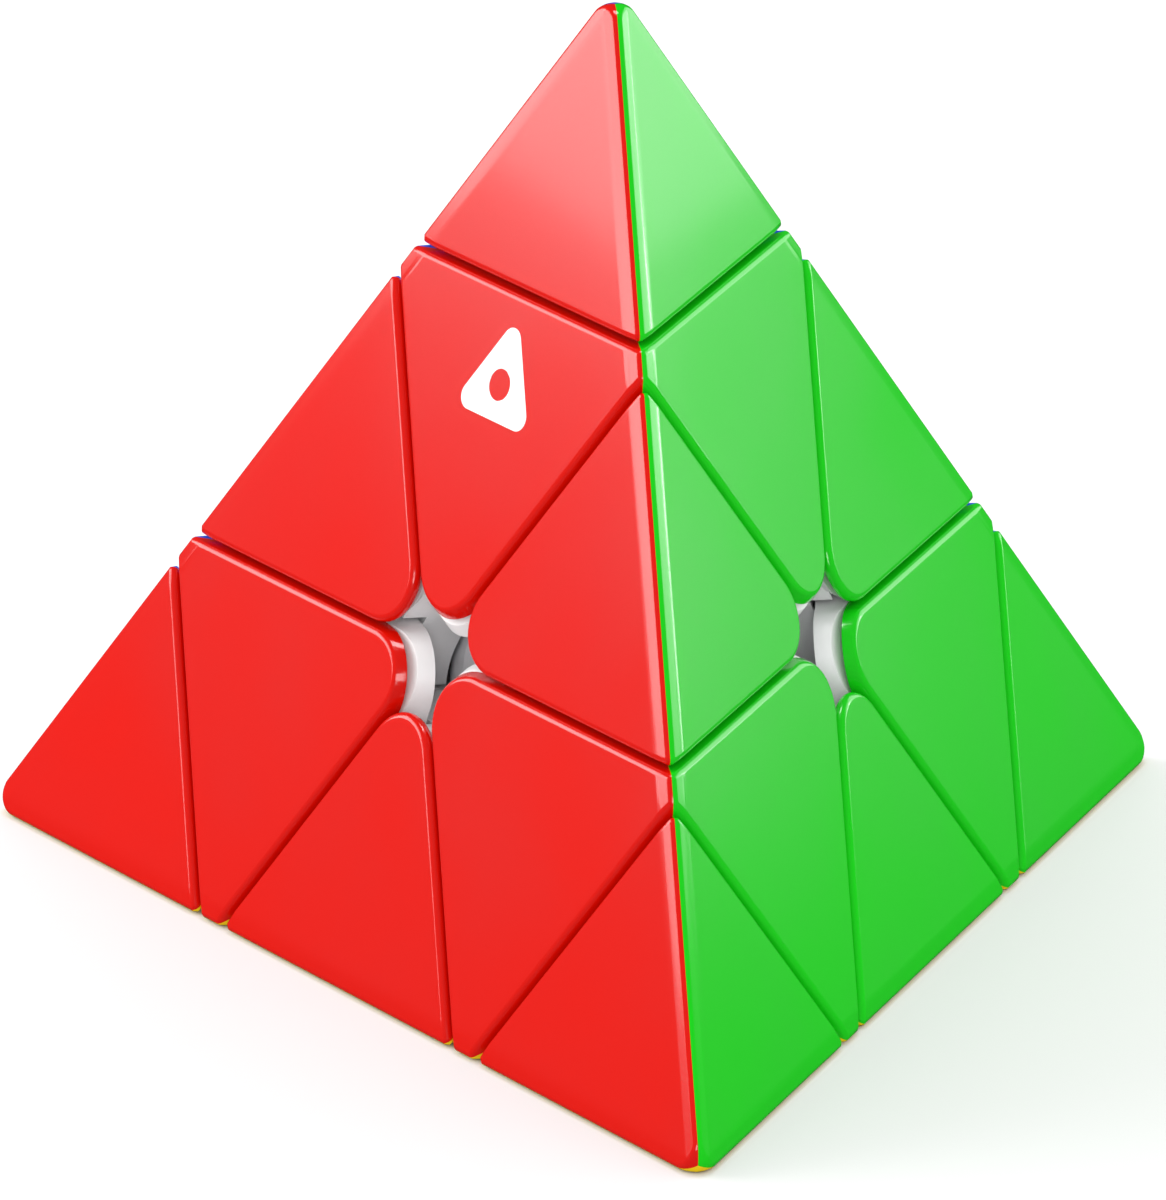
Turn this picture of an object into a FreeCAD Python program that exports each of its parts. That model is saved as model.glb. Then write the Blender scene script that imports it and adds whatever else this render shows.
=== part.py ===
import FreeCAD, Part
import math
import os
from FreeCAD import Placement, Rotation, Vector

# A three-layer pyramid twisty puzzle, in millimetres.
# The origin is the pivot centre, +Z points to the top corner and the front corner is towards -Y.
# Each "level" is a distance from the pivot centre along the line to a corner.

# Driving dimensions
EDGE_LENGTH = 98.0
TIP_LEVEL = 34.75
LAYER_LEVEL = 6.8
FOOT_LEVEL = 0.0
GAP = 0.36

# Roundings
RIDGE_ROUND = 0.8
RIM_ROUND = 0.6
NOSE_ROUND = 4.2

# Caps, and the hollows that their frames have under them
SHELL_THICKNESS = 1.6
HOLLOW_DEPTH = 5.0
WALL = 2.0
NOSE_WALL = 3.0

# Bearing spheres
CORE_RADIUS = 13.2
TRACK_RADIUS = 17.2
NECK_OVERLAP = 1.6

# Core details
CORE_FLAT_LEVEL = 12.6
CORE_POCKET_LENGTH = 2.4
CORE_POCKET_WIDTH = 1.4
CORE_POCKET_DEPTH = 0.9
CORE_POCKET_OFFSET = 0.8

# Hardware on each turning axis
HUB_BORE_RADIUS = 3.4
HUB_SEAT_LEVEL = 16.6
SHAFT_HOLE_RADIUS = 1.6
SCREW_RADIUS = 1.3
SCREW_HEAD_RADIUS = 2.5
SCREW_HEAD_HEIGHT = 1.8
SCREW_END_LEVEL = 6.0
SCREW_SLOT_WIDTH = 0.7
SCREW_SLOT_DEPTH = 0.9
INSERT_RADIUS = 2.3
INSERT_COLLAR_RADIUS = 2.7
INSERT_COLLAR_HEIGHT = 0.8
INSERT_END_LEVEL = 5.0
WASHER_RADIUS = 2.8
WASHER_THICKNESS = 0.4
SEAT_CLEARANCE = 0.05
SPRING_WIRE_RADIUS = 0.25
SPRING_WIRE_SIDES = 8
SPRING_COIL_RADIUS = 2.15
SPRING_LENGTH = 5.2
SPRING_PITCH = 1.1

# Pivot of each tip
PLUG_HEIGHT = 3.2
PLUG_CLEARANCE = 0.02
PIN_RADIUS = 1.6
PIN_HEAD_RADIUS = 2.4
PIN_HEAD_HEIGHT = 1.8
TIP_FLOOR = 3.4
TIP_HOLE_RADIUS = 1.95
TIP_CAVITY_RADIUS = 2.9
TIP_CAVITY_HEIGHT = 2.6

# Derived sizes
HEIGHT = EDGE_LENGTH * math.sqrt(2.0 / 3.0)
FACE_LEVEL = HEIGHT / 4.0
HALF_GAP = GAP / 2.0
BIG = 200.0
TOLERANCE = 1e-4

BASE_TILT = math.asin(-1.0 / 3.0)


def direction(azimuth, elevation):
    """Unit vector at an azimuth in degrees and an elevation in radians."""
    turn = math.radians(azimuth)
    flat = math.cos(elevation)
    return Vector(flat * math.cos(turn), flat * math.sin(turn), math.sin(elevation))


CORNERS = {
    "top": Vector(0, 0, 1),
    "front": direction(-90.0, BASE_TILT),
    "left": direction(150.0, BASE_TILT),
    "right": direction(30.0, BASE_TILT),
}

# Each face is named by its colour and lies opposite one corner.
FACE_COLOURS = {"right": "red", "left": "green", "front": "blue", "top": "yellow"}


def below(corner, level):
    """Half-space of the points lower than a level on a corner's axis, as a big box."""
    box = Part.makeBox(BIG, BIG, BIG, Vector(-BIG / 2, -BIG / 2, -BIG))
    turn = Rotation(Vector(0, 0, 1), CORNERS[corner])
    box.Placement = Placement(CORNERS[corner] * level, turn)
    return box


def above(corner, level):
    """Half-space of the points higher than a level on a corner's axis, as a big box."""
    box = Part.makeBox(BIG, BIG, BIG, Vector(-BIG / 2, -BIG / 2, 0))
    turn = Rotation(Vector(0, 0, 1), CORNERS[corner])
    box.Placement = Placement(CORNERS[corner] * level, turn)
    return box


def inside_face(corner, depth=0.0):
    """Half-space on the inner side of the face opposite a corner."""
    return above(corner, depth - FACE_LEVEL)


def common(*solids):
    """Volume shared by all the solids."""
    result = solids[0]
    for solid in solids[1:]:
        result = result.common(solid)
    return result


def others(*corners):
    """Corner names left after the given ones."""
    return [name for name in CORNERS if name not in corners]


def ball(radius):
    """Sphere round the pivot centre."""
    return Part.makeSphere(radius)


def frame_of(first, second):
    """Rotation whose X axis points to one corner and whose Y axis leans to another."""
    x_axis = CORNERS[first]
    z_axis = x_axis.cross(CORNERS[second]).normalize()
    y_axis = z_axis.cross(x_axis)
    return Rotation(x_axis, y_axis, z_axis, "XZY")


def moved(shape, start, end):
    """Copy of a shape, turned so that the start pair of corners lands on the end pair."""
    turn = frame_of(*end) * frame_of(*start).inverted()
    return shape.transformed(Placement(Vector(), turn).toMatrix(), True)


def cylinder(corner, radius, low, high):
    """Solid cylinder on a corner's axis between two levels."""
    axis = CORNERS[corner]
    return Part.makeCylinder(radius, high - low, axis * low, axis)


def level_of(corner, point):
    """Level of a point on a corner's axis."""
    return CORNERS[corner].dot(point)


def edge_points(edge):
    """Ends and middle of an edge."""
    middle = (edge.FirstParameter + edge.LastParameter) / 2.0
    return [edge.valueAt(edge.FirstParameter), edge.valueAt(middle), edge.valueAt(edge.LastParameter)]


def lies_on(edge, corner, level):
    """True when an edge lies in the plane at a level on a corner's axis."""
    return all(abs(level_of(corner, point) - level) < TOLERANCE for point in edge_points(edge))


def faces_met(edge, corners):
    """How many of the pyramid's faces, each named by its opposite corner, hold an edge."""
    return sum(lies_on(edge, corner, -FACE_LEVEL) for corner in corners)


def round_outside(solid, corners):
    """Round the ridges between two faces, and the rims where a face ends at a groove."""
    ridges = [edge for edge in solid.Edges if faces_met(edge, corners) == 2]
    solid = solid.makeFillet(RIDGE_ROUND, ridges)
    rims = [edge for edge in solid.Edges if faces_met(edge, corners) == 1]
    return solid.makeFillet(RIM_ROUND, rims)


def mitre(corner, neighbour, offset=0.0):
    """Half-space on one face's side of the plane through its ridge with another face."""
    normal = (CORNERS[neighbour] - CORNERS[corner]).normalize()
    box = Part.makeBox(BIG, BIG, BIG, Vector(-BIG / 2, -BIG / 2, offset))
    box.Placement = Placement(Vector(), Rotation(Vector(0, 0, 1), normal))
    return box


def shell_of(solid, corner, neighbours):
    """Coloured cap of a piece on one face, mitred where the piece turns a ridge."""
    cap = solid.common(below(corner, SHELL_THICKNESS - FACE_LEVEL))
    return common(cap, *[mitre(corner, neighbour) for neighbour in neighbours])


def hollow(frame, corners, sides, kept):
    """Frame with a hollow under each of its caps, inside walls offset from its sides."""
    for corner in corners:
        neighbours = [other for other in corners if other != corner]
        ribs = [mitre(corner, neighbour, WALL) for neighbour in neighbours]
        space = common(below(corner, SHELL_THICKNESS + HOLLOW_DEPTH - FACE_LEVEL), *ribs, *sides)
        frame = frame.cut(space.cut(kept))
    return frame


def body_of(solid, corners):
    """Inner frame of a piece, which its caps cover."""
    return common(solid, *[inside_face(corner, SHELL_THICKNESS) for corner in corners])


def tip_frame_and_shell():
    """Top tip: its inner frame with the pivot hole, and its cap on the red face."""
    faces = others("top")
    base_level = TIP_LEVEL + HALF_GAP
    outside = common(above("top", base_level), *[inside_face(corner) for corner in faces])
    outside = round_outside(outside, faces)
    cavity_level = TIP_LEVEL + TIP_FLOOR
    hole = cylinder("top", TIP_HOLE_RADIUS, base_level - GAP, cavity_level + GAP)
    cavity = cylinder("top", TIP_CAVITY_RADIUS, cavity_level, cavity_level + TIP_CAVITY_HEIGHT)
    boss_level = cavity_level + TIP_CAVITY_HEIGHT + WALL
    boss = cylinder("top", TIP_CAVITY_RADIUS + WALL, base_level, boss_level)
    frame = hollow(body_of(outside, faces), faces, [above("top", base_level + WALL)], boss)
    frame = frame.cut(hole.fuse(cavity))
    return frame, shell_of(outside, "right", ["front", "left"])


def axial_frame_and_shell():
    """Top axial piece: its frame with the stalk and hub bore, and its cap on the red face."""
    faces = others("top")
    side_level = LAYER_LEVEL - HALF_GAP
    outside = common(above("top", 0), below("top", TIP_LEVEL - HALF_GAP))
    outside = common(outside, *[below(corner, side_level) for corner in faces])
    outside = common(outside, *[inside_face(corner) for corner in faces])
    noses = [edge for edge in outside.Edges
             if sum(lies_on(edge, corner, side_level) for corner in faces) == 2]
    outside = round_outside(outside.makeFillet(NOSE_ROUND, noses), faces)
    outside = outside.common(above("top", LAYER_LEVEL + HALF_GAP))
    outside = outside.cut(ball(TRACK_RADIUS + HALF_GAP))
    stalk = common(*[below(corner, FOOT_LEVEL - HALF_GAP) for corner in faces])
    stalk = stalk.common(ball(TRACK_RADIUS + 2 * GAP)).cut(ball(CORE_RADIUS + GAP))
    stalk = stalk.common(above("top", 0))
    bore = cylinder("top", HUB_BORE_RADIUS, HUB_SEAT_LEVEL, TIP_LEVEL)
    shaft_hole = cylinder("top", SHAFT_HOLE_RADIUS, CORE_RADIUS - GAP, HUB_SEAT_LEVEL + GAP)
    sides = [below("top", TIP_LEVEL - HALF_GAP - WALL), above("top", LAYER_LEVEL + HALF_GAP + WALL)]
    sides += [below(corner, side_level - NOSE_WALL) for corner in faces]
    hub = ball(TRACK_RADIUS + WALL).fuse(cylinder("top", HUB_BORE_RADIUS + WALL, 0, TIP_LEVEL))
    frame = hollow(body_of(outside, faces), faces, sides, hub)
    frame = frame.fuse(stalk).cut(bore).cut(shaft_hole)
    return frame, shell_of(outside, "right", ["front", "left"])


def edge_frame_and_shell():
    """Top-front edge piece: its frame with the hooked foot, and its cap on the red face."""
    own = ["top", "front"]
    faces = ["left", "right"]
    own_level = LAYER_LEVEL + HALF_GAP
    wedge = common(*[above(corner, own_level) for corner in own])
    outside = common(wedge, *[inside_face(corner) for corner in faces])
    noses = [edge for edge in outside.Edges
             if all(lies_on(edge, corner, own_level) for corner in own)]
    outside = round_outside(outside.makeFillet(NOSE_ROUND, noses), faces)
    outside = outside.cut(ball(TRACK_RADIUS + HALF_GAP))
    foot_space = common(*[below(corner, FOOT_LEVEL - HALF_GAP) for corner in faces])
    foot_space = foot_space.cut(ball(CORE_RADIUS + GAP))
    neck = common(wedge, foot_space, ball(TRACK_RADIUS + NECK_OVERLAP))
    foot = common(foot_space, *[above(corner, FOOT_LEVEL + HALF_GAP) for corner in own])
    foot = foot.common(ball(TRACK_RADIUS - HALF_GAP))
    sides = [above(corner, own_level + NOSE_WALL) for corner in own]
    frame = body_of(outside, faces).fuse(neck).fuse(foot).removeSplitter()
    frame = hollow(frame, faces, sides, ball(TRACK_RADIUS + WALL))
    return frame, shell_of(outside, "right", ["left"])


def core_ball():
    """Fixed core: a ball with a threaded boss hole on each axis and a flat under each face."""
    core = ball(CORE_RADIUS)
    for corner in CORNERS:
        inward = CORNERS[corner] * -1.0
        side = (CORNERS["top"] if corner != "top" else CORNERS["front"]).cross(inward).normalize()
        up = inward.cross(side)
        turn = Rotation(side, up, inward, "ZXY")
        flat = Part.makeBox(BIG, BIG, BIG, Vector(-BIG / 2, -BIG / 2, 0))
        flat.Placement = Placement(inward * CORE_FLAT_LEVEL, turn)
        corner_of_pocket = Vector(CORE_POCKET_OFFSET, -CORE_POCKET_LENGTH / 2, -CORE_POCKET_DEPTH)
        pocket = Part.makeBox(CORE_POCKET_WIDTH, CORE_POCKET_LENGTH, BIG, corner_of_pocket)
        pocket.Placement = Placement(inward * CORE_FLAT_LEVEL, turn)
        hole = cylinder(corner, INSERT_RADIUS, INSERT_END_LEVEL, CORE_RADIUS + GAP)
        mouth_level = CORE_RADIUS - INSERT_COLLAR_HEIGHT - GAP
        mouth = cylinder(corner, INSERT_COLLAR_RADIUS, mouth_level, CORE_RADIUS + GAP)
        core = core.cut(flat).cut(pocket).cut(hole).cut(mouth)
    return core


def insert():
    """Brass threaded insert of the top axis, with a collar at its mouth."""
    collar_level = CORE_RADIUS - INSERT_COLLAR_HEIGHT - GAP
    sleeve = cylinder("top", INSERT_RADIUS, INSERT_END_LEVEL, collar_level)
    collar = cylinder("top", INSERT_COLLAR_RADIUS, collar_level, collar_level + INSERT_COLLAR_HEIGHT)
    thread_hole = cylinder("top", SCREW_RADIUS, INSERT_END_LEVEL + 1.0, CORE_RADIUS)
    return sleeve.fuse(collar).cut(thread_hole)


def screw():
    """Slotted screw of the top axis, from inside the insert up to its head in the hub bore."""
    head_level = HUB_SEAT_LEVEL + SEAT_CLEARANCE + 2 * WASHER_THICKNESS + SPRING_LENGTH
    shaft = cylinder("top", SCREW_RADIUS, SCREW_END_LEVEL, head_level + 0.5 * SCREW_HEAD_HEIGHT)
    head = cylinder("top", SCREW_HEAD_RADIUS, head_level, head_level + SCREW_HEAD_HEIGHT)
    slot_floor = head_level + SCREW_HEAD_HEIGHT - SCREW_SLOT_DEPTH
    slot_corner = Vector(-SCREW_HEAD_RADIUS, -SCREW_SLOT_WIDTH / 2, slot_floor)
    slot = Part.makeBox(2 * SCREW_HEAD_RADIUS, SCREW_SLOT_WIDTH, SCREW_HEAD_HEIGHT, slot_corner)
    return shaft.fuse(head).cut(slot)


def washers():
    """Two washers of the top axis, one at each end of its spring."""
    low_level = HUB_SEAT_LEVEL + SEAT_CLEARANCE
    high_level = low_level + WASHER_THICKNESS + SPRING_LENGTH
    hole = cylinder("top", SCREW_RADIUS, low_level - GAP, high_level + WASHER_THICKNESS + GAP)
    levels = [low_level, high_level]
    return [cylinder("top", WASHER_RADIUS, level, level + WASHER_THICKNESS).cut(hole)
            for level in levels]


def spring():
    """Coil spring of the top axis, round the screw between the two washers."""
    low_level = HUB_SEAT_LEVEL + SEAT_CLEARANCE + WASHER_THICKNESS + SPRING_WIRE_RADIUS
    rise = SPRING_LENGTH - 2 * SPRING_WIRE_RADIUS
    helix = Part.makeHelix(SPRING_PITCH, rise, SPRING_COIL_RADIUS)
    turns = [2.0 * math.pi * index / SPRING_WIRE_SIDES for index in range(SPRING_WIRE_SIDES + 1)]
    outline = [Vector(SPRING_COIL_RADIUS + SPRING_WIRE_RADIUS * math.cos(turn), 0,
                      SPRING_WIRE_RADIUS * math.sin(turn)) for turn in turns]
    coil = Part.Wire(helix.Edges).makePipeShell([Part.makePolygon(outline)], True, True)
    coil.translate(Vector(0, 0, low_level))
    return coil


def tip_pivot():
    """Plug that closes the top hub bore and carries the headed pin on which the tip turns."""
    top_level = TIP_LEVEL - HALF_GAP
    plug = cylinder("top", HUB_BORE_RADIUS - PLUG_CLEARANCE, top_level - PLUG_HEIGHT, top_level)
    head_level = TIP_LEVEL + TIP_FLOOR + GAP
    pin = cylinder("top", PIN_RADIUS, top_level - PLUG_HEIGHT / 2, head_level + PIN_HEAD_HEIGHT / 2)
    head = cylinder("top", PIN_HEAD_RADIUS, head_level, head_level + PIN_HEAD_HEIGHT)
    lead_in = [edge for edge in head.Edges
               if lies_on(edge, "top", head_level + PIN_HEAD_HEIGHT)]
    head = head.makeChamfer(PIN_HEAD_HEIGHT / 3, lead_in)
    return plug.fuse(pin).fuse(head)


def around_axes(solids):
    """Copies of solids made on the top axis, set on all four axes as one group."""
    neighbours = {"top": "front", "front": "left", "left": "right", "right": "front"}
    copies = [moved(solid, ("top", "front"), (corner, neighbours[corner]))
              for corner in CORNERS for solid in solids]
    return Part.makeCompound(copies)


def export(node, shape):
    """Write one node, as its bare solids."""
    solids = shape.Solids
    if not solids or not all(solid.isValid() for solid in solids):
        raise ValueError(node + " is not a valid solid")
    kept = solids[0] if len(solids) == 1 else Part.makeCompound(solids)
    kept.exportStep("parts/" + node + ".step")


def export_core():
    """Core ball and the hardware that holds the four axial pieces to it."""
    export("core_ball", core_ball())
    export("core_inserts", around_axes([insert()]))
    export("axis_screws", around_axes([screw()]))
    export("axis_washers", around_axes(washers()))
    export("axis_springs", around_axes([spring()]))


def export_corner_pieces():
    """Axial piece, tip pivot and tip of every corner."""
    axial_frame, axial_shell = axial_frame_and_shell()
    tip_frame, tip_shell = tip_frame_and_shell()
    pivot = tip_pivot()
    for corner in CORNERS:
        neighbours = others(corner)
        place = (corner, neighbours[0])
        export(corner + "_axial_frame", moved(axial_frame, ("top", "front"), place))
        export(corner + "_tip_pivot", moved(pivot, ("top", "front"), place))
        export(corner + "_tip_frame", moved(tip_frame, ("top", "front"), place))
        for far_corner in neighbours:
            colour = FACE_COLOURS[far_corner]
            cap_place = (corner, far_corner)
            cap_start = ("top", "right")
            export(corner + "_axial_" + colour + "_cap", moved(axial_shell, cap_start, cap_place))
            export(corner + "_tip_" + colour + "_cap", moved(tip_shell, cap_start, cap_place))


def export_edge_pieces():
    """Edge piece between every two corners."""
    frame, shell = edge_frame_and_shell()
    names = list(CORNERS)
    for index, first in enumerate(names):
        for second in names[index + 1:]:
            far_corners = others(first, second)
            node = first + "_" + second + "_edge"
            export(node + "_frame", moved(frame, ("left", "right"), tuple(far_corners)))
            for far_corner in far_corners:
                far_place = (far_corner, others(first, second, far_corner)[0])
                cap = moved(shell, ("right", "left"), far_place)
                export(node + "_" + FACE_COLOURS[far_corner] + "_cap", cap)


os.makedirs("parts", exist_ok=True)
export_core()
export_corner_pieces()
export_edge_pieces()
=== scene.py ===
"""Looks of the pyramid twisty puzzle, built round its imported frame.

The puzzle is a regular tetrahedron that stands on its yellow face. Four axial pieces turn on a
hidden core, a tip turns on each of them, and an edge piece sits on each ridge. Every piece has a
white inner frame and one coloured cap for each face of the pyramid that it shows.
"""

import logging
import math
from dataclasses import dataclass, field
from enum import Enum
from itertools import permutations

import bmesh
import bpy
from mathutils import Matrix, Vector

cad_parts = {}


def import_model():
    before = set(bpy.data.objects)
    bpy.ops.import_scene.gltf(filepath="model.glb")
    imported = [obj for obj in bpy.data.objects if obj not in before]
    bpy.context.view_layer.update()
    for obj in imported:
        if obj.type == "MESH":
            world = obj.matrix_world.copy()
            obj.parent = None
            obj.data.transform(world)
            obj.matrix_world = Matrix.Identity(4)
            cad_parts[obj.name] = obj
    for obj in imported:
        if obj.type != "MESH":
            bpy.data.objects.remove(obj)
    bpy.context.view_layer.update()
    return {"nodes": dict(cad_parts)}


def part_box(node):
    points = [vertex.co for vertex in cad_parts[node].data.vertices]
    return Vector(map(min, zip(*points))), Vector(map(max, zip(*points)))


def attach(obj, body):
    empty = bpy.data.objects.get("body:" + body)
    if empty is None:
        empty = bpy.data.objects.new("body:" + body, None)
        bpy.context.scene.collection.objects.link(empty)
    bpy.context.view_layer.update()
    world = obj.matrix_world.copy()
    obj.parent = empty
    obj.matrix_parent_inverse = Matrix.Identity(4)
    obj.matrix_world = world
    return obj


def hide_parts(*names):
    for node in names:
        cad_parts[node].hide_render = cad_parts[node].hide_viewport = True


LOG = logging.getLogger("puzzle")
MM = 0.001
UP = Vector((0.0, 0.0, 1.0))


class Corner(Enum):
    """The four corners of the pyramid, by their azimuth in degrees; the top one has none."""

    TOP = None
    FRONT = -90.0
    LEFT = 150.0
    RIGHT = 30.0

    @property
    def word(self) -> str:
        """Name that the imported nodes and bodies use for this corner."""
        return self.name.lower()

    @property
    def axis(self) -> Vector:
        """Unit vector from the pivot centre to this corner."""
        if self.value is None:
            return UP.copy()
        turn = math.radians(self.value)
        level, reach = -1.0 / 3.0, math.sqrt(8.0) / 3.0
        return Vector((reach * math.cos(turn), reach * math.sin(turn), level))

    def others(self) -> list["Corner"]:
        """The three corners other than this one."""
        return [corner for corner in Corner if corner is not self]


class FaceColour(Enum):
    """Each face's colour, by the corner that lies opposite the face."""

    RED = Corner.RIGHT
    GREEN = Corner.LEFT
    BLUE = Corner.FRONT
    YELLOW = Corner.TOP

    @property
    def word(self) -> str:
        """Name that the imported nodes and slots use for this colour."""
        return self.name.lower()

    @classmethod
    def opposite(cls, corner: Corner) -> "FaceColour":
        """Colour of the face that lies opposite a corner."""
        return cls(corner)


@dataclass(frozen=True)
class HalfSpace:
    """Points whose distance along a unit normal is at most a reach, in metres."""

    normal: Vector
    reach: float

    def moved_in(self, depth: float) -> "HalfSpace":
        """The same half-space with its wall moved inwards by a depth."""
        return HalfSpace(self.normal, self.reach - depth)


@dataclass
class PuzzleSizes:
    """Levels and roundings shared by all the pieces, in metres."""

    face: float
    tip: float
    layer: float
    cap: float
    gap: float = 0.36 * MM
    rounding: float = 0.6 * MM
    nose_round: float = 4.2 * MM
    cap_inset: float = -0.02 * MM
    band_width: float = 1.9 * MM
    band_tilt: float = math.radians(5.5)
    crease_round: float = 9.0 * MM
    nose_depth: float = 0.75 * MM
    nose_slope: float = 0.25
    apex_drop: float = 2.6 * MM

    @classmethod
    def from_frame(cls) -> "PuzzleSizes":
        """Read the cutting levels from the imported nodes.

        Returns:
            The sizes of this puzzle.
        """
        base_low, base_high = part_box("front_axial_yellow_cap")
        half_gap = cls.gap / 2.0
        return cls(
            face=-base_low.z,
            tip=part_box("top_tip_frame")[0].z - half_gap,
            layer=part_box("top_front_edge_red_cap")[0].z - half_gap,
            cap=base_high.z - base_low.z,
        )

    def above(self, corner: Corner, level: float) -> HalfSpace:
        """Half-space beyond a level on a corner's axis, less half a gap."""
        return HalfSpace(-corner.axis, -(level + self.gap / 2.0 + self.cap_inset))

    def below(self, corner: Corner, level: float) -> HalfSpace:
        """Half-space inside a level on a corner's axis, less half a gap."""
        return HalfSpace(corner.axis, level - self.gap / 2.0 - self.cap_inset)

    def face_wall(self, corner: Corner) -> HalfSpace:
        """Half-space inside the face that lies opposite a corner."""
        return HalfSpace(-corner.axis, self.face)

    def band_wall(self, corner: Corner, neighbour: Corner) -> HalfSpace:
        """Half-space inside the band that slopes down a face beside its ridge with another.

        Args:
            corner: Corner opposite the face.
            neighbour: Corner opposite the face beyond the ridge.

        Returns:
            The sloping half-space.
        """
        face = self.face_wall(corner)
        across = -neighbour.axis
        towards = (across - face.normal * across.dot(face.normal)).normalized()
        ridge = (across + face.normal).normalized()
        start = ridge * (face.reach / ridge.dot(face.normal)) - towards * self.band_width
        normal = face.normal * math.cos(self.band_tilt) + towards * math.sin(self.band_tilt)
        return HalfSpace(normal, normal.dot(start))


def tangent_walls(first: HalfSpace, second: HalfSpace, radius: float, steps: int) -> list[HalfSpace]:
    """Walls tangent to the cylinder that rounds the edge between two others.

    Args:
        first: Wall on one side of the edge.
        second: Wall on the other side.
        radius: Radius of the rounding.
        steps: How many steps the rounding is divided into.

    Returns:
        Half-spaces from one side to the other.
    """
    matrix = Matrix((first.normal, second.normal, first.normal.cross(second.normal)))
    centre = matrix.inverted() @ Vector((first.reach - radius, second.reach - radius, 0.0))
    normals = [first.normal.slerp(second.normal, step / steps) for step in range(1, steps)]
    return [HalfSpace(normal, normal.dot(centre) + radius) for normal in normals]


@dataclass
class Blank:
    """Convex blank of one kind of piece, cut from half-spaces and rounded all round.

    The blank is made at its place under the top corner, and copies are turned to the others.
    """

    sizes: PuzzleSizes
    sides: list[HalfSpace]
    faces: list[Corner]
    nose_pairs: list[tuple[HalfSpace, HalfSpace]] = field(default_factory=list)
    apex: Corner | None = None
    nose_steps: int = 16
    arc_step: float = math.radians(11.0)
    apex_rings: int = 5
    apex_ring_step: float = math.radians(10.0)
    apex_spokes: int = 18
    start_size: float = 0.3

    def walls(self) -> list[HalfSpace]:
        """All the walls of the blank before its rims are rounded."""
        sizes = self.sizes
        walls = [sizes.face_wall(corner) for corner in self.faces]
        for first, second in permutations(self.faces, 2):
            band = sizes.band_wall(first, second)
            walls.append(band)
            walls += tangent_walls(sizes.face_wall(first), band, sizes.crease_round, 4)
        for first, second in self.nose_pairs:
            walls += tangent_walls(first, second, sizes.nose_round, self.nose_steps)
        if self.apex is not None:
            walls += self.apex_walls()
        return walls + self.sides

    def apex_walls(self) -> list[HalfSpace]:
        """Walls tangent to the ball that blunts the apex and runs into its ridges."""
        sizes = self.sizes
        ridge = (-self.faces[0].axis - self.faces[1].axis).normalized()
        lean = ridge.dot(self.apex.axis)
        band = sizes.band_wall(self.faces[0], self.faces[1])
        ridge_reach = band.reach / band.normal.dot(ridge)
        ridge_reach -= sizes.rounding * (1.0 / band.normal.dot(ridge) - 1.0)
        apex_reach = 3.0 * sizes.face - sizes.apex_drop
        centre = (apex_reach - ridge_reach) / (1.0 - lean)
        radius = apex_reach - centre
        walls = [HalfSpace(self.apex.axis, apex_reach)]
        side = self.apex.axis.orthogonal().normalized()
        for ring in range(1, self.apex_rings + 1):
            tilt = self.apex_ring_step * ring
            for spoke in range(self.apex_spokes):
                angle = 2.0 * math.pi * spoke / self.apex_spokes
                turn = Matrix.Rotation(angle, 3, self.apex.axis)
                normal = self.apex.axis * math.cos(tilt) + (turn @ side) * math.sin(tilt)
                walls.append(HalfSpace(normal, normal.dot(self.apex.axis) * centre + radius))
        return walls

    @staticmethod
    def cut(solid: bmesh.types.BMesh, wall: HalfSpace) -> None:
        """Cut away what lies outside a wall and close the cut with one face.

        Args:
            solid: The mesh to cut, which stays closed.
            wall: The half-space to keep.
        """
        if max(vertex.co.dot(wall.normal) for vertex in solid.verts) <= wall.reach + 1e-8:
            return
        everything = solid.verts[:] + solid.edges[:] + solid.faces[:]
        made = bmesh.ops.bisect_plane(
            solid, geom=everything, dist=1e-8, plane_co=wall.normal * wall.reach,
            plane_no=wall.normal, clear_outer=True,
        )
        rim = [item for item in made["geom_cut"] if isinstance(item, bmesh.types.BMEdge)]
        bmesh.ops.contextual_create(solid, geom=rim)

    def solid(self, shrink: float) -> bmesh.types.BMesh:
        """Build the blank with its walls moved inwards.

        Args:
            shrink: How far each wall is moved in.

        Returns:
            A closed convex mesh.
        """
        solid = bmesh.new()
        bmesh.ops.create_cube(solid, size=self.start_size)
        for wall in self.walls():
            self.cut(solid, wall.moved_in(shrink))
        self.tidy(solid)
        return solid

    @staticmethod
    def tidy(solid: bmesh.types.BMesh) -> None:
        """Merge doubled points and turn the normals outwards."""
        bmesh.ops.remove_doubles(solid, verts=solid.verts[:], dist=2e-7)
        bmesh.ops.dissolve_degenerate(solid, edges=solid.edges[:], dist=1e-7)
        bmesh.ops.recalc_face_normals(solid, faces=solid.faces[:])

    def arc(self, first: Vector, second: Vector) -> list[Vector]:
        """Unit vectors between two others, one step apart or closer."""
        angle = first.angle(second)
        steps = math.ceil(angle / self.arc_step)
        return [first.slerp(second, step / steps) for step in range(1, steps)] if steps > 1 else []

    def rounding_normals(self, core: bmesh.types.BMesh) -> list[Vector]:
        """Directions in which the rounded blank is tangent to its rounding.

        Args:
            core: The blank shrunk by the rounding.

        Returns:
            Unit vectors over the core's edges and round its corners.
        """
        normals = []
        for edge in core.edges:
            normals += self.arc(edge.link_faces[0].normal, edge.link_faces[1].normal)
        for vertex in core.verts:
            around = [face.normal.copy() for face in vertex.link_faces]
            middle = sum(around, Vector()).normalized()
            for normal in around:
                if middle.angle(normal) > self.arc_step:
                    normals += [middle, *self.arc(middle, normal)]
        distinct = {tuple(round(number, 3) for number in normal): normal for normal in normals}
        return list(distinct.values())

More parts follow.
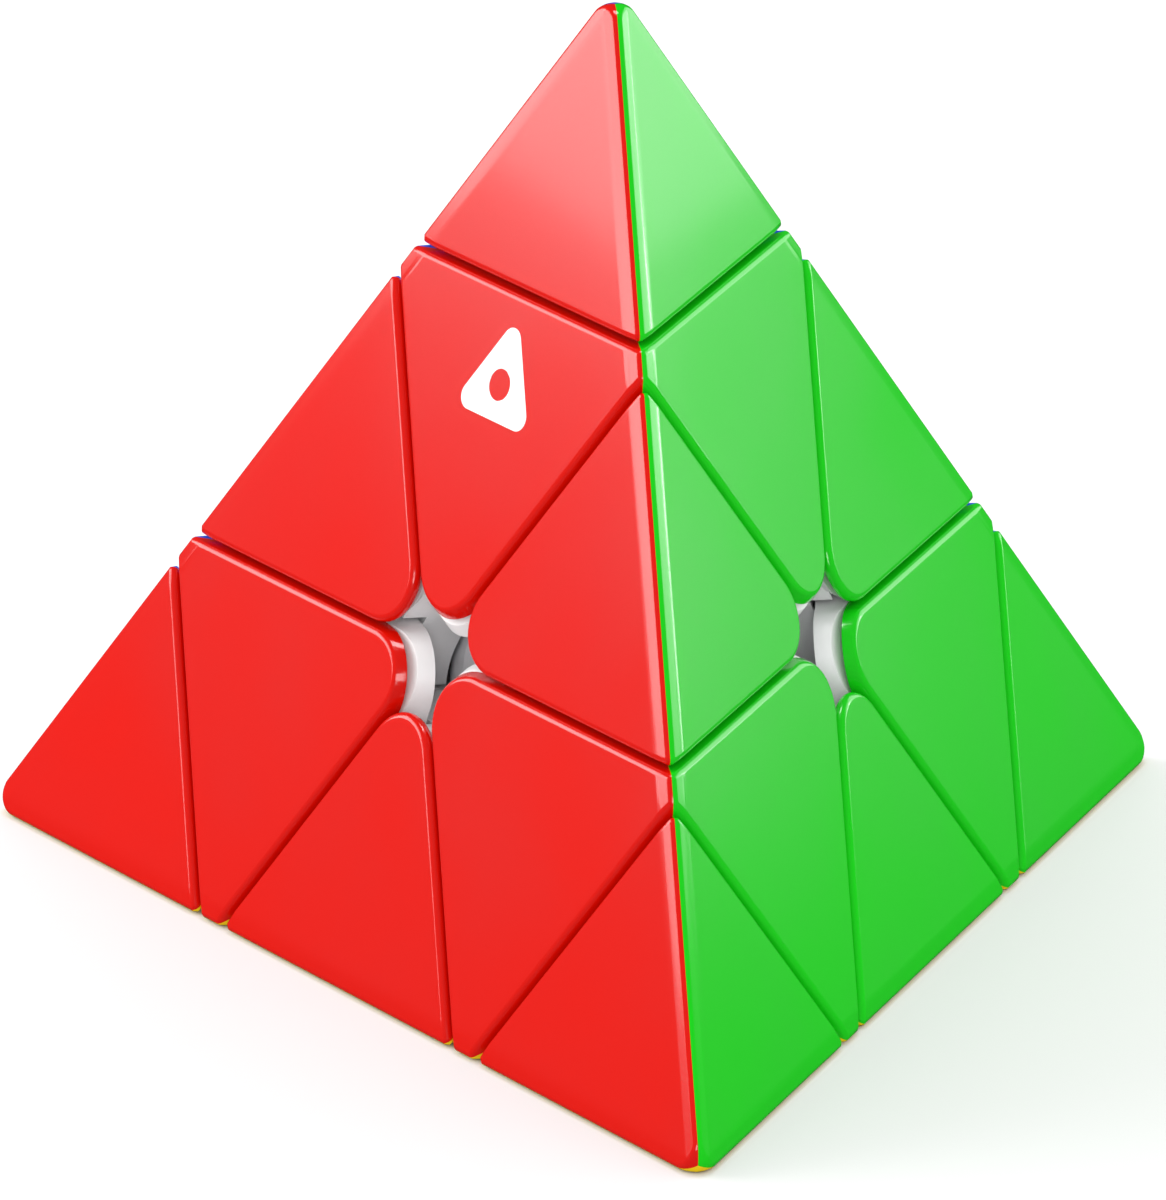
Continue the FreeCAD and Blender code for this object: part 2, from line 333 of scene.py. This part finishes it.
    def rounded(self) -> bpy.types.Mesh:
        """Round every edge of the blank as a ball rolling inside it would.

        Returns:
            The finished mesh of the whole blank.
        """
        core = self.solid(self.sizes.rounding)
        normals = self.rounding_normals(core)
        solid = self.solid(0.0)
        for normal in normals:
            support = max(vertex.co.dot(normal) for vertex in core.verts)
            self.cut(solid, HalfSpace(normal, support + self.sizes.rounding))
        self.tidy(solid)
        mesh = bpy.data.meshes.new("blank")
        solid.to_mesh(mesh)
        core.free()
        solid.free()
        return mesh

    def thin_nose(self, solid: bmesh.types.BMesh, face: Corner) -> None:
        """Slope the underside of a cap so that it is thin at its nose.

        Args:
            solid: The cap's mesh.
            face: Corner opposite the pyramid face that the cap shows.
        """
        own = sum((corner.axis for corner in Corner if corner not in self.faces), Vector())
        inward = (own - face.axis * own.dot(face.axis)).normalized()
        nose = min(vertex.co.dot(inward) for vertex in solid.verts)
        slope = self.sizes.nose_slope
        length = math.hypot(1.0, slope)
        reach = self.sizes.nose_depth - self.sizes.face - slope * nose
        self.cut(solid, HalfSpace((face.axis - inward * slope) / length, reach / length))

    def cap(self, blank: bpy.types.Mesh, face: Corner, neighbours: list[Corner]) -> bpy.types.Mesh:
        """Cut the cap of one face out of the rounded blank.

        Args:
            blank: The rounded blank.
            face: Corner opposite the pyramid face that the cap shows.
            neighbours: Corners opposite the other faces that the piece shows.

        Returns:
            A closed mesh, smooth over its roundings, with the rim_share attribute.
        """
        solid = bmesh.new()
        solid.from_mesh(blank)
        self.cut(solid, HalfSpace(face.axis, self.sizes.cap - self.sizes.face))
        for neighbour in neighbours:
            self.cut(solid, HalfSpace((face.axis - neighbour.axis).normalized(), 0.0))
        if self.nose_pairs:
            self.thin_nose(solid, face)
        self.tidy(solid)
        mesh = bpy.data.meshes.new("cap")
        solid.to_mesh(mesh)
        solid.free()
        share = mesh.attributes.new("rim_share", "FLOAT", "POINT")
        for index, vertex in enumerate(mesh.vertices):
            depth = self.sizes.face + vertex.co.dot(face.axis)
            share.data[index].value = min(1.0, depth / self.sizes.rounding)
        return smoothed(mesh)


def plain_mesh(holder: bpy.types.Object, name: str) -> bpy.types.Mesh:
    """Turn an object with live modifiers into a plain mesh.

    Args:
        holder: The object to evaluate.
        name: Name of the new mesh.

    Returns:
        A mesh with the result of the modifiers.
    """
    bpy.context.view_layer.update()
    graph = bpy.context.evaluated_depsgraph_get()
    mesh = bpy.data.meshes.new_from_object(holder.evaluated_get(graph), depsgraph=graph)
    mesh.name = name
    return mesh


def smoothed(mesh: bpy.types.Mesh, sharp_degrees: float = 32.0) -> bpy.types.Mesh:
    """Shade a mesh smooth, with flat areas kept flat and real edges kept sharp.

    Args:
        mesh: The mesh to shade.
        sharp_degrees: Edges that bend more than this stay sharp.

    Returns:
        A new mesh whose normals are weighted by face area.
    """
    mesh.shade_smooth()
    mesh.set_sharp_from_angle(angle=math.radians(sharp_degrees))
    holder = bpy.data.objects.new("holder", mesh)
    bpy.context.scene.collection.objects.link(holder)
    weighting = holder.modifiers.new("weighting", "WEIGHTED_NORMAL")
    weighting.keep_sharp = True
    result = plain_mesh(holder, mesh.name)
    bpy.data.objects.remove(holder)
    return result


def axes_frame(first: Corner, second: Corner) -> Matrix:
    """Matrix whose columns are a corner's axis and two directions square to it."""
    along = first.axis
    normal = along.cross(second.axis).normalized()
    return Matrix((along, normal.cross(along), normal)).transposed()


def turn_between(start: tuple[Corner, Corner], end: tuple[Corner, Corner]) -> Matrix:
    """Rotation that carries one ordered pair of corners to another, as a 4x4 matrix."""
    return (axes_frame(*end) @ axes_frame(*start).transposed()).to_4x4()


def add_piece(name: str, mesh: bpy.types.Mesh, material: bpy.types.Material) -> bpy.types.Object:
    """Link a new piece at the origin with one material.

    Args:
        name: Name of the piece.
        mesh: Its mesh, already in place.
        material: Its finish.

    Returns:
        The new object.
    """
    mesh.name = name
    mesh.materials.clear()
    mesh.materials.append(material)
    piece = bpy.data.objects.new(name, mesh)
    bpy.context.scene.collection.objects.link(piece)
    return piece


class ShaderGroups:
    """Shader node groups that several finishes share, each built once."""

    def __init__(self) -> None:
        """Build every group."""
        self.grain = self._moulded_grain()
        self.wear = self._rim_wear()
        self.machined = self._machined_metal()

    @staticmethod
    def _new(name: str, inputs: dict[str, float], outputs: list[str]) -> bpy.types.NodeTree:
        """Make an empty group with float inputs and outputs.

        Args:
            name: Name of the group.
            inputs: Default value of each input, by its name.
            outputs: Names of the outputs.

        Returns:
            The new node group, with its input and output nodes.
        """
        tree = bpy.data.node_groups.new(name, "ShaderNodeTree")
        for word, value in inputs.items():
            socket = tree.interface.new_socket(word, in_out="INPUT", socket_type="NodeSocketFloat")
            socket.default_value = value
        for word in outputs:
            tree.interface.new_socket(word, in_out="OUTPUT", socket_type="NodeSocketFloat")
        tree.nodes.new("NodeGroupInput").name = "in"
        tree.nodes.new("NodeGroupOutput").name = "out"
        return tree

    @staticmethod
    def maths(tree: bpy.types.NodeTree, operation: str, *values: object) -> bpy.types.NodeSocket:
        """Add a math node.

        Args:
            tree: Tree to add it to.
            operation: Its operation.
            values: What its inputs are, each a number or a socket to link.

        Returns:
            The node's output.
        """
        node = tree.nodes.new("ShaderNodeMath")
        node.operation = operation
        for socket, value in zip(node.inputs, values):
            if isinstance(value, bpy.types.NodeSocket):
                tree.links.new(value, socket)
            else:
                socket.default_value = value
        return node.outputs[0]

    def _moulded_grain(self) -> bpy.types.NodeTree:
        """Fine spark texture and slow flow marks of an injection-moulded part."""
        inputs = {"Grain Scale": 6000.0, "Flow Scale": 45.0}
        tree = self._new("moulded_grain", inputs, ["Grain", "Flow"])
        place = tree.nodes.new("ShaderNodeTexCoord")
        for word in ("Grain", "Flow"):
            noise = tree.nodes.new("ShaderNodeTexNoise")
            noise.inputs["Detail"].default_value = 2.0
            tree.links.new(place.outputs["Object"], noise.inputs["Vector"])
            tree.links.new(tree.nodes["in"].outputs[word + " Scale"], noise.inputs["Scale"])
            tree.links.new(noise.outputs["Fac"], tree.nodes["out"].inputs[word])
        return tree

    def _rim_wear(self) -> bpy.types.NodeTree:
        """Rims that fingers have polished, and faint smudges on the flat areas."""
        inputs = {"Roughness": 0.3, "Polish": 0.35, "Flow": 0.5, "Patchiness": 0.12}
        tree = self._new("rim_wear", inputs, ["Roughness", "Rim"])
        start, out = tree.nodes["in"].outputs, tree.nodes["out"].inputs
        rim = tree.nodes.new("ShaderNodeAttribute")
        rim.attribute_name = "rim_share"
        kept = self.maths(tree, "MULTIPLY_ADD", rim.outputs["Fac"],
                          self.maths(tree, "MULTIPLY", start["Polish"], -1.0), 1.0)
        centred = self.maths(tree, "SUBTRACT", start["Flow"], 0.5)
        patches = self.maths(tree, "MULTIPLY_ADD", centred, start["Patchiness"], start["Roughness"])
        tree.links.new(self.maths(tree, "MULTIPLY", patches, kept), out["Roughness"])
        tree.links.new(rim.outputs["Fac"], out["Rim"])
        return tree

    def _machined_metal(self) -> bpy.types.NodeTree:
        """Turning marks round each part, and stains that dull the metal in patches."""
        inputs = {"Roughness": 0.3, "Mark Scale": 9000.0, "Stain Scale": 700.0}
        tree = self._new("machined_metal", inputs, ["Roughness", "Marks", "Stain"])
        start, out = tree.nodes["in"].outputs, tree.nodes["out"].inputs
        place = tree.nodes.new("ShaderNodeTexCoord")
        parts = tree.nodes.new("ShaderNodeVectorMath")
        parts.operation = "LENGTH"
        tree.links.new(place.outputs["Object"], parts.inputs[0])
        waves = self.maths(tree, "MULTIPLY", parts.outputs["Value"], start["Mark Scale"])
        marks = self.maths(tree, "SINE", waves)
        stain = tree.nodes.new("ShaderNodeTexNoise")
        tree.links.new(place.outputs["Object"], stain.inputs["Vector"])
        tree.links.new(start["Stain Scale"], stain.inputs["Scale"])
        dulled = self.maths(tree, "MULTIPLY_ADD", stain.outputs["Fac"], 0.25, start["Roughness"])
        tree.links.new(dulled, out["Roughness"])
        tree.links.new(marks, out["Marks"])
        tree.links.new(stain.outputs["Fac"], out["Stain"])
        return tree


def tinted(tree: bpy.types.NodeTree, pale: tuple[float, float, float],
           deep: tuple[float, float, float], amount: bpy.types.NodeSocket) -> bpy.types.NodeSocket:
    """Mix two colours by an amount.

    Args:
        tree: Tree to add the mix to.
        pale: Colour at no amount.
        deep: Colour at the full amount.
        amount: Socket that gives the amount.

    Returns:
        The mixed colour.
    """
    mix = tree.nodes.new("ShaderNodeMix")
    mix.data_type = "RGBA"
    mix.inputs["A"].default_value = (*pale, 1.0)
    mix.inputs["B"].default_value = (*deep, 1.0)
    tree.links.new(amount, mix.inputs["Factor"])
    return mix.outputs["Result"]


@dataclass(frozen=True)
class PlasticFinish:
    """A moulded plastic: its colours and how it shines."""

    name: str
    colour: tuple[float, float, float]
    deep_colour: tuple[float, float, float]
    roughness: float = 0.20
    coat: float = 0.0
    coat_roughness: float = 0.07
    specular: float = 0.5
    grain_depth: float = 0.04

    def material(self, groups: ShaderGroups) -> bpy.types.Material:
        """Build the finish.

        Args:
            groups: The shared shader groups.

        Returns:
            The new material.
        """
        made = bpy.data.materials.new(self.name)
        made.use_nodes = True
        tree = made.node_tree
        shader = tree.nodes["Principled BSDF"]
        grain = tree.nodes.new("ShaderNodeGroup")
        grain.node_tree = groups.grain
        wear = tree.nodes.new("ShaderNodeGroup")
        wear.node_tree = groups.wear
        wear.inputs["Roughness"].default_value = self.roughness
        tree.links.new(grain.outputs["Flow"], wear.inputs["Flow"])
        colour = tinted(tree, self.colour, self.deep_colour, grain.outputs["Flow"])
        bump = tree.nodes.new("ShaderNodeBump")
        bump.inputs["Strength"].default_value = self.grain_depth
        bump.inputs["Distance"].default_value = 0.1 * MM
        tree.links.new(grain.outputs["Grain"], bump.inputs["Height"])
        tree.links.new(colour, shader.inputs["Base Color"])
        tree.links.new(wear.outputs["Roughness"], shader.inputs["Roughness"])
        tree.links.new(bump.outputs["Normal"], shader.inputs["Normal"])
        shader.inputs["Specular IOR Level"].default_value = self.specular
        shader.inputs["Coat Weight"].default_value = self.coat
        shader.inputs["Coat Roughness"].default_value = self.coat_roughness
        return made


@dataclass(frozen=True)
class MetalFinish:
    """A turned metal: its colours and how worn it is."""

    name: str
    colour: tuple[float, float, float]
    stained_colour: tuple[float, float, float]
    roughness: float = 0.25

    def material(self, groups: ShaderGroups) -> bpy.types.Material:
        """Build the finish.

        Args:
            groups: The shared shader groups.

        Returns:
            The new material.
        """
        made = bpy.data.materials.new(self.name)
        made.use_nodes = True
        tree = made.node_tree
        shader = tree.nodes["Principled BSDF"]
        metal = tree.nodes.new("ShaderNodeGroup")
        metal.node_tree = groups.machined
        metal.inputs["Roughness"].default_value = self.roughness
        bump = tree.nodes.new("ShaderNodeBump")
        bump.inputs["Strength"].default_value = 0.15
        bump.inputs["Distance"].default_value = 0.05 * MM
        colour = tinted(tree, self.colour, self.stained_colour, metal.outputs["Stain"])
        tree.links.new(colour, shader.inputs["Base Color"])
        tree.links.new(metal.outputs["Marks"], bump.inputs["Height"])
        tree.links.new(metal.outputs["Roughness"], shader.inputs["Roughness"])
        tree.links.new(bump.outputs["Normal"], shader.inputs["Normal"])
        shader.inputs["Metallic"].default_value = 1.0
        return made


FINISHES = {
    "red": PlasticFinish("red_plastic", (0.64, 0.005, 0.0005), (0.55, 0.002, 0.0003), coat=0.4),
    "green": PlasticFinish("green_plastic", (0.008, 0.58, 0.008), (0.004, 0.49, 0.005), coat=0.4),
    "blue": PlasticFinish("blue_plastic", (0.006, 0.08, 0.60), (0.003, 0.05, 0.48), coat=0.4),
    "yellow": PlasticFinish("yellow_plastic", (0.82, 0.60, 0.008), (0.74, 0.50, 0.004), coat=0.4),
    "frame": PlasticFinish("frame_plastic", (0.86, 0.86, 0.86), (0.80, 0.80, 0.81), roughness=0.35),
    "core": PlasticFinish("core_plastic", (0.80, 0.80, 0.82), (0.72, 0.72, 0.75), roughness=0.45),
    "brass": MetalFinish("brass", (0.80, 0.58, 0.22), (0.55, 0.36, 0.12)),
    "steel": MetalFinish("steel", (0.62, 0.62, 0.64), (0.42, 0.42, 0.45)),
    "spring_steel": MetalFinish("spring_steel", (0.50, 0.51, 0.54), (0.30, 0.31, 0.34), 0.3),
}


@dataclass
class Cover:
    """The coloured caps of one kind of piece, in all their places."""

    sizes: PuzzleSizes
    materials: dict[str, bpy.types.Material]

    def place(self, node: str, body: str, colour: FaceColour, mesh: bpy.types.Mesh) -> None:
        """Set one cap on its body, in place of the plain one.

        Args:
            node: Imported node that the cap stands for.
            body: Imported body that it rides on.
            colour: Colour of its face.
            mesh: Its mesh, already in place.
        """
        piece = add_piece(node + "_moulded", mesh, self.materials[colour.word])
        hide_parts(node)
        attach(piece, body)
        LOG.info("cap %s: %d faces", piece.name, len(mesh.polygons))


class CornerCover(Cover):
    """Caps of the tips and of the axial pieces."""

    def blanks(self) -> dict[str, Blank]:
        """The blanks of the top tip and of the top axial piece, by kind."""
        top, sizes = Corner.TOP, self.sizes
        faces = top.others()
        tip_sides = [sizes.above(top, sizes.tip)]
        layers = [sizes.below(corner, sizes.layer) for corner in faces]
        pairs = [(layers[0], layers[1]), (layers[1], layers[2]), (layers[2], layers[0])]
        floor = HalfSpace(-UP, 0.0)
        axial_sides = [sizes.below(top, sizes.tip), floor, *layers]
        return {
            "tip": Blank(sizes, tip_sides, faces, apex=top),
            "axial": Blank(sizes, axial_sides, faces, pairs),
        }

    def build(self) -> None:
        """Make the caps of every tip and axial piece."""
        shown = Corner.RIGHT
        mitred = [Corner.FRONT, Corner.LEFT]
        for kind, blank in self.blanks().items():
            cap = blank.cap(blank.rounded(), shown, mitred)
            for corner in Corner:
                for far in corner.others():
                    turn = turn_between((Corner.TOP, shown), (corner, far))
                    mesh = cap.copy()
                    mesh.transform(turn)
                    colour = FaceColour.opposite(far)
                    body = f"{corner.word}_{kind}"
                    self.place(f"{body}_{colour.word}_cap", body, colour, mesh)


class EdgeCover(Cover):
    """Caps of the edge pieces."""

    def blank(self) -> Blank:
        """The blank of the edge piece between the top and front corners."""
        sizes = self.sizes
        sides = [sizes.above(corner, sizes.layer) for corner in (Corner.TOP, Corner.FRONT)]
        return Blank(sizes, sides, [Corner.LEFT, Corner.RIGHT], [(sides[0], sides[1])])

    def build(self) -> None:
        """Make the two caps of every edge piece."""
        blank = self.blank()
        cap = blank.cap(blank.rounded(), Corner.RIGHT, [Corner.LEFT])
        corners = list(Corner)
        for index, first in enumerate(corners):
            for second in corners[index + 1:]:
                body = f"{first.word}_{second.word}_edge"
                far = [corner for corner in corners if corner not in (first, second)]
                for shown, hidden in (far, far[::-1]):
                    turn = turn_between((Corner.RIGHT, Corner.LEFT), (shown, hidden))
                    mesh = cap.copy()
                    mesh.transform(turn)
                    colour = FaceColour.opposite(shown)
                    self.place(f"{body}_{colour.word}_cap", body, colour, mesh)


class Mechanism:
    """The white frames, the core and its hardware, which the caps hide."""

    FINISH_OF_NODE = {
        "core_ball": "core",
        "core_inserts": "brass",
        "axis_screws": "steel",
        "axis_washers": "steel",
    }

    def __init__(self, materials: dict[str, bpy.types.Material]) -> None:
        """Keep the finishes."""
        self.materials = materials

    def finish_for(self, node: str) -> str:
        """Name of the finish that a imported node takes."""
        if node.endswith("_frame"):
            return "frame"
        if node.endswith("_pivot"):
            return "core"
        return self.FINISH_OF_NODE[node]

    def dress(self, nodes: dict[str, bpy.types.Object]) -> None:
        """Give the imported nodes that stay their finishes.

        Args:
            nodes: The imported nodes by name.
        """
        for name, node in nodes.items():
            if not node.hide_render:
                node.data.materials.clear()
                node.data.materials.append(self.materials[self.finish_for(name)])


@dataclass
class SpringSet:
    """The four coil springs on the axes, grown by Geometry Nodes."""

    material: bpy.types.Material
    coil_radius: float = 2.15 * MM
    wire_radius: float = 0.25 * MM
    pitch: float = 1.1 * MM
    length: float = 5.2 * MM
    washer_thickness: float = 0.4 * MM

    def tree(self) -> bpy.types.NodeTree:
        """Node tree that grows one spring and sets a copy on each input point.

        Returns:
            A tree with inputs for the coil and the wire, which ends in a plain mesh.
        """
        tree = bpy.data.node_groups.new("coil_springs", "GeometryNodeTree")
        tree.interface.new_socket("Geometry", in_out="INPUT", socket_type="NodeSocketGeometry")
        for word in ("Coil Radius", "Wire Radius", "Height", "Turns"):
            tree.interface.new_socket(word, in_out="INPUT", socket_type="NodeSocketFloat")
        tree.interface.new_socket("Geometry", in_out="OUTPUT", socket_type="NodeSocketGeometry")
        nodes, links = tree.nodes, tree.links
        start, end = nodes.new("NodeGroupInput"), nodes.new("NodeGroupOutput")
        spiral = nodes.new("GeometryNodeCurveSpiral")
        spiral.inputs["Resolution"].default_value = 40
        links.new(start.outputs["Turns"], spiral.inputs["Rotations"])
        links.new(start.outputs["Coil Radius"], spiral.inputs["Start Radius"])
        links.new(start.outputs["Coil Radius"], spiral.inputs["End Radius"])
        links.new(start.outputs["Height"], spiral.inputs["Height"])
        section = nodes.new("GeometryNodeCurvePrimitiveCircle")
        section.inputs["Resolution"].default_value = 12
        links.new(start.outputs["Wire Radius"], section.inputs["Radius"])
        wire = nodes.new("GeometryNodeCurveToMesh")
        wire.inputs["Fill Caps"].default_value = True
        links.new(spiral.outputs["Curve"], wire.inputs["Curve"])
        links.new(section.outputs["Curve"], wire.inputs["Profile Curve"])
        aim = nodes.new("FunctionNodeAlignRotationToVector")
        aim.axis = "Z"
        place = nodes.new("GeometryNodeInputPosition")
        links.new(place.outputs["Position"], aim.inputs["Vector"])
        copies = nodes.new("GeometryNodeInstanceOnPoints")
        links.new(start.outputs["Geometry"], copies.inputs["Points"])
        links.new(wire.outputs["Mesh"], copies.inputs["Instance"])
        links.new(aim.outputs["Rotation"], copies.inputs["Rotation"])
        real = nodes.new("GeometryNodeRealizeInstances")
        finish = nodes.new("GeometryNodeSetMaterial")
        finish.inputs["Material"].default_value = self.material
        links.new(copies.outputs["Instances"], real.inputs["Geometry"])
        links.new(real.outputs["Geometry"], finish.inputs["Geometry"])
        links.new(finish.outputs["Geometry"], end.inputs["Geometry"])
        return tree

    def build(self) -> None:
        """Grow the springs in place of the plain ones."""
        top_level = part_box("axis_washers")[1].z - self.washer_thickness
        start_level = top_level - self.length + self.wire_radius
        points = bpy.data.meshes.new("spring_feet")
        points.from_pydata([corner.axis * start_level for corner in Corner], [], [])
        holder = bpy.data.objects.new("spring_feet", points)
        bpy.context.scene.collection.objects.link(holder)
        growth = holder.modifiers.new("springs", "NODES")
        growth.node_group = self.tree()
        height = self.length - 2.0 * self.wire_radius
        values = {"Coil Radius": self.coil_radius, "Wire Radius": self.wire_radius,
                  "Height": height, "Turns": height / self.pitch}
        for item in growth.node_group.interface.items_tree:
            if item.in_out == "INPUT" and item.name in values:
                growth[item.identifier] = values[item.name]
        mesh = plain_mesh(holder, "coil_springs")
        bpy.data.objects.remove(holder)
        piece = add_piece("coil_springs", mesh, self.material)
        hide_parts("axis_springs")
        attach(piece, "core")
        LOG.info("springs from %.2f to %.2f mm", start_level / MM, top_level / MM)


@dataclass
class PrintedMark:
    """Plain white rounded triangle printed on one facet, with a round hole in it."""

    sizes: PuzzleSizes
    material: bpy.types.Material
    reach: float = 3.6 * MM
    corner_round: float = 1.1 * MM
    film: float = 0.03 * MM
    hole: float = 1.3 * MM
    rise: float = 6.2 * MM
    steps: int = 12

    def outline(self) -> list[tuple[float, float]]:
        """Points round the triangle, anticlockwise."""
        points = []
        for index in range(3):
            heading = math.radians(90.0 + 120.0 * index)
            centre = (self.reach * math.cos(heading), self.reach * math.sin(heading))
            for step in range(self.steps + 1):
                turn = heading + math.radians(-60.0 + 120.0 * step / self.steps)
                points.append((centre[0] + self.corner_round * math.cos(turn),
                               centre[1] + self.corner_round * math.sin(turn)))
        return points

    def build(self, centre: Vector, face: Corner, body: str) -> None:
        """Lay the film of ink on a facet.

        Args:
            centre: Point on the facet.
            face: Corner opposite the facet's face.
            body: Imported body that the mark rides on.
        """
        outward = -face.axis
        across = UP.cross(outward).normalized()
        upward = outward.cross(across)
        outer = self.outline()
        start = math.atan2(outer[0][1], outer[0][0])
        turns = [start + 2.0 * math.pi * index / len(outer) for index in range(len(outer))]
        inner = [(self.hole * math.cos(turn), self.hole * math.sin(turn)) for turn in turns]
        rings = []
        for points, height in ((outer, 0.0), (outer, self.film), (inner, self.film), (inner, 0.0)):
            rings.append([centre + across * x + upward * y + outward * height for x, y in points])
        count = len(outer)
        faces = []
        for ring in range(4):
            for step in range(count):
                after = (step + 1) % count
                here, there = ring * count, (ring + 1) % 4 * count
                faces.append((here + step, here + after, there + after, there + step))
        mesh = bpy.data.meshes.new("printed_mark")
        mesh.from_pydata([point for ring in rings for point in ring], [], faces)
        piece = add_piece("printed_mark", mesh, self.material)
        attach(piece, body)


@dataclass
class Studio:
    """Floor, surround, lights and camera."""

    sizes: PuzzleSizes
    camera_place: tuple[float, float, float] = (-146.6 * MM, -1210.1 * MM, 487.0 * MM)
    camera_heading: tuple[float, float, float] = (0.110, 0.924, -0.36654)
    camera_lens: float = 491.0
    table_white: float = 0.74
    reflected_surround: float = 0.06

    @staticmethod
    def _ray_mix(tree: bpy.types.NodeTree, ray: str, usual: bpy.types.NodeSocket,
                 special: bpy.types.NodeSocket) -> bpy.types.NodeSocket:
        """Use one shader for a kind of ray and another for the rest.

        Args:
            tree: Tree to add the mix to.
            ray: Output of the light path node.
            usual: Shader for the other rays.
            special: Shader for that kind of ray.

        Returns:
            The mixed shader.
        """
        path = tree.nodes.new("ShaderNodeLightPath")
        mix = tree.nodes.new("ShaderNodeMixShader")
        tree.links.new(path.outputs[ray], mix.inputs["Fac"])
        tree.links.new(usual, mix.inputs[1])
        tree.links.new(special, mix.inputs[2])
        return mix.outputs["Shader"]

    def floor(self) -> None:
        """Wide white table that glossy rays pass through, so that it doesn't veil the colours."""
        mesh = bpy.data.meshes.new("floor")
        half, level = 6.0, -self.sizes.face
        ends = [(-half, -half), (half, -half), (half, half), (-half, half)]
        mesh.from_pydata([(x, y, level) for x, y in ends], [], [(0, 1, 2, 3)])
        material = bpy.data.materials.new("white_table")
        material.use_nodes = True
        tree = material.node_tree
        shader = tree.nodes["Principled BSDF"]
        shader.inputs["Base Color"].default_value = (*[self.table_white] * 3, 1.0)
        shader.inputs["Roughness"].default_value = 1.0
        shader.inputs["Specular IOR Level"].default_value = 0.0
        clear = tree.nodes.new("ShaderNodeBsdfTransparent")
        seen = self._ray_mix(tree, "Is Glossy Ray", shader.outputs["BSDF"], clear.outputs["BSDF"])
        tree.links.new(seen, tree.nodes["Material Output"].inputs["Surface"])
        add_piece("floor", mesh, material)

    def surround(self) -> None:
        """White surround for the eye and for soft light, and a dark one in reflections."""
        world = bpy.data.worlds.new("surround")
        world.use_nodes = True
        tree = world.node_tree
        soft = tree.nodes["Background"]
        soft.inputs["Color"].default_value = (1.0, 1.0, 1.0, 1.0)
        soft.inputs["Strength"].default_value = 1.0
        dark = tree.nodes.new("ShaderNodeBackground")
        dark.inputs["Color"].default_value = (1.0, 1.0, 1.0, 1.0)
        dark.inputs["Strength"].default_value = self.reflected_surround
        seen = self._ray_mix(tree, "Is Glossy Ray", soft.outputs["Background"],
                             dark.outputs["Background"])
        tree.links.new(seen, tree.nodes["World Output"].inputs["Surface"])
        bpy.context.scene.world = world
        bpy.context.scene.view_settings.view_transform = "Standard"

    def camera(self) -> None:
        """Camera well back with a long lens, turned slightly to the red face."""
        data = bpy.data.cameras.new("camera")
        data.lens = self.camera_lens
        data.sensor_width = 36.0
        data.clip_start, data.clip_end = 0.05, 50.0
        camera = bpy.data.objects.new("camera", data)
        camera.location = self.camera_place
        heading = Vector(self.camera_heading)
        camera.rotation_euler = heading.to_track_quat("-Z", "Y").to_euler()
        bpy.context.scene.collection.objects.link(camera)
        bpy.context.scene.camera = camera

    @staticmethod
    def panel(name: str, place: tuple[float, float, float], size: tuple[float, float],
              radiance: float, aim: tuple[float, float, float] = (0.0, 0.0, 0.01)) -> None:
        """Add one rectangular light that faces a point.

        Args:
            name: Name of the light.
            place: Its centre.
            size: Its width and height.
            radiance: How bright its surface is, where 1 is the white of the surround.
            aim: Point that it faces.
        """
        data = bpy.data.lights.new(name, "AREA")
        data.shape = "RECTANGLE"
        data.size, data.size_y = size
        data.energy = radiance * math.pi * size[0] * size[1]
        lamp = bpy.data.objects.new(name, data)
        lamp.location = place
        back = Vector(place) - Vector(aim)
        lamp.rotation_euler = back.to_track_quat("Z", "Y").to_euler()
        lamp.visible_camera = False
        bpy.context.scene.collection.objects.link(lamp)

    def lights(self) -> None:
        """Softboxes to the left and right, a strip, a small one overhead and one in front."""
        self.panel("left_box", (-0.43, 0.15, 0.222), (0.40, 0.30), 4.4)
        self.panel("right_box", (0.39, 0.224, 0.162), (0.30, 0.30), 2.1)
        self.panel("right_strip", (0.55, 0.235, 0.10), (0.02, 0.24), 14.0)
        self.panel("top_box", (0.02, 0.05, 0.60), (0.16, 0.16), 8.0)
        self.panel("front_box", (-0.10, -0.84, 0.34), (0.30, 0.30), 5.5)

    def build(self) -> None:
        """Set up the whole stage."""
        self.floor()
        self.surround()
        self.camera()
        self.lights()


def main() -> None:
    """Build the puzzle and its stage."""
    logging.basicConfig(level=logging.INFO, format="%(name)s: %(message)s")
    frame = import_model()
    groups = ShaderGroups()
    materials = {word: finish.material(groups) for word, finish in FINISHES.items()}
    sizes = PuzzleSizes.from_frame()
    LOG.info("sizes: %s", sizes)
    CornerCover(sizes, materials).build()
    EdgeCover(sizes, materials).build()
    SpringSet(materials["spring_steel"]).build()
    Mechanism(materials).dress(frame["nodes"])
    facet_low, facet_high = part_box("top_axial_red_cap")
    mark = PrintedMark(sizes, materials["frame"])
    level = (facet_low.z + facet_high.z) / 2.0 + mark.rise
    outward = -Corner.RIGHT.axis
    upward = (UP - outward * UP.dot(outward)).normalized()
    foot = outward * sizes.face
    mark.build(foot + upward * ((level - foot.z) / upward.z), Corner.RIGHT, "top_axial")
    Studio(sizes).build()


if __name__ == "__main__":
    main()
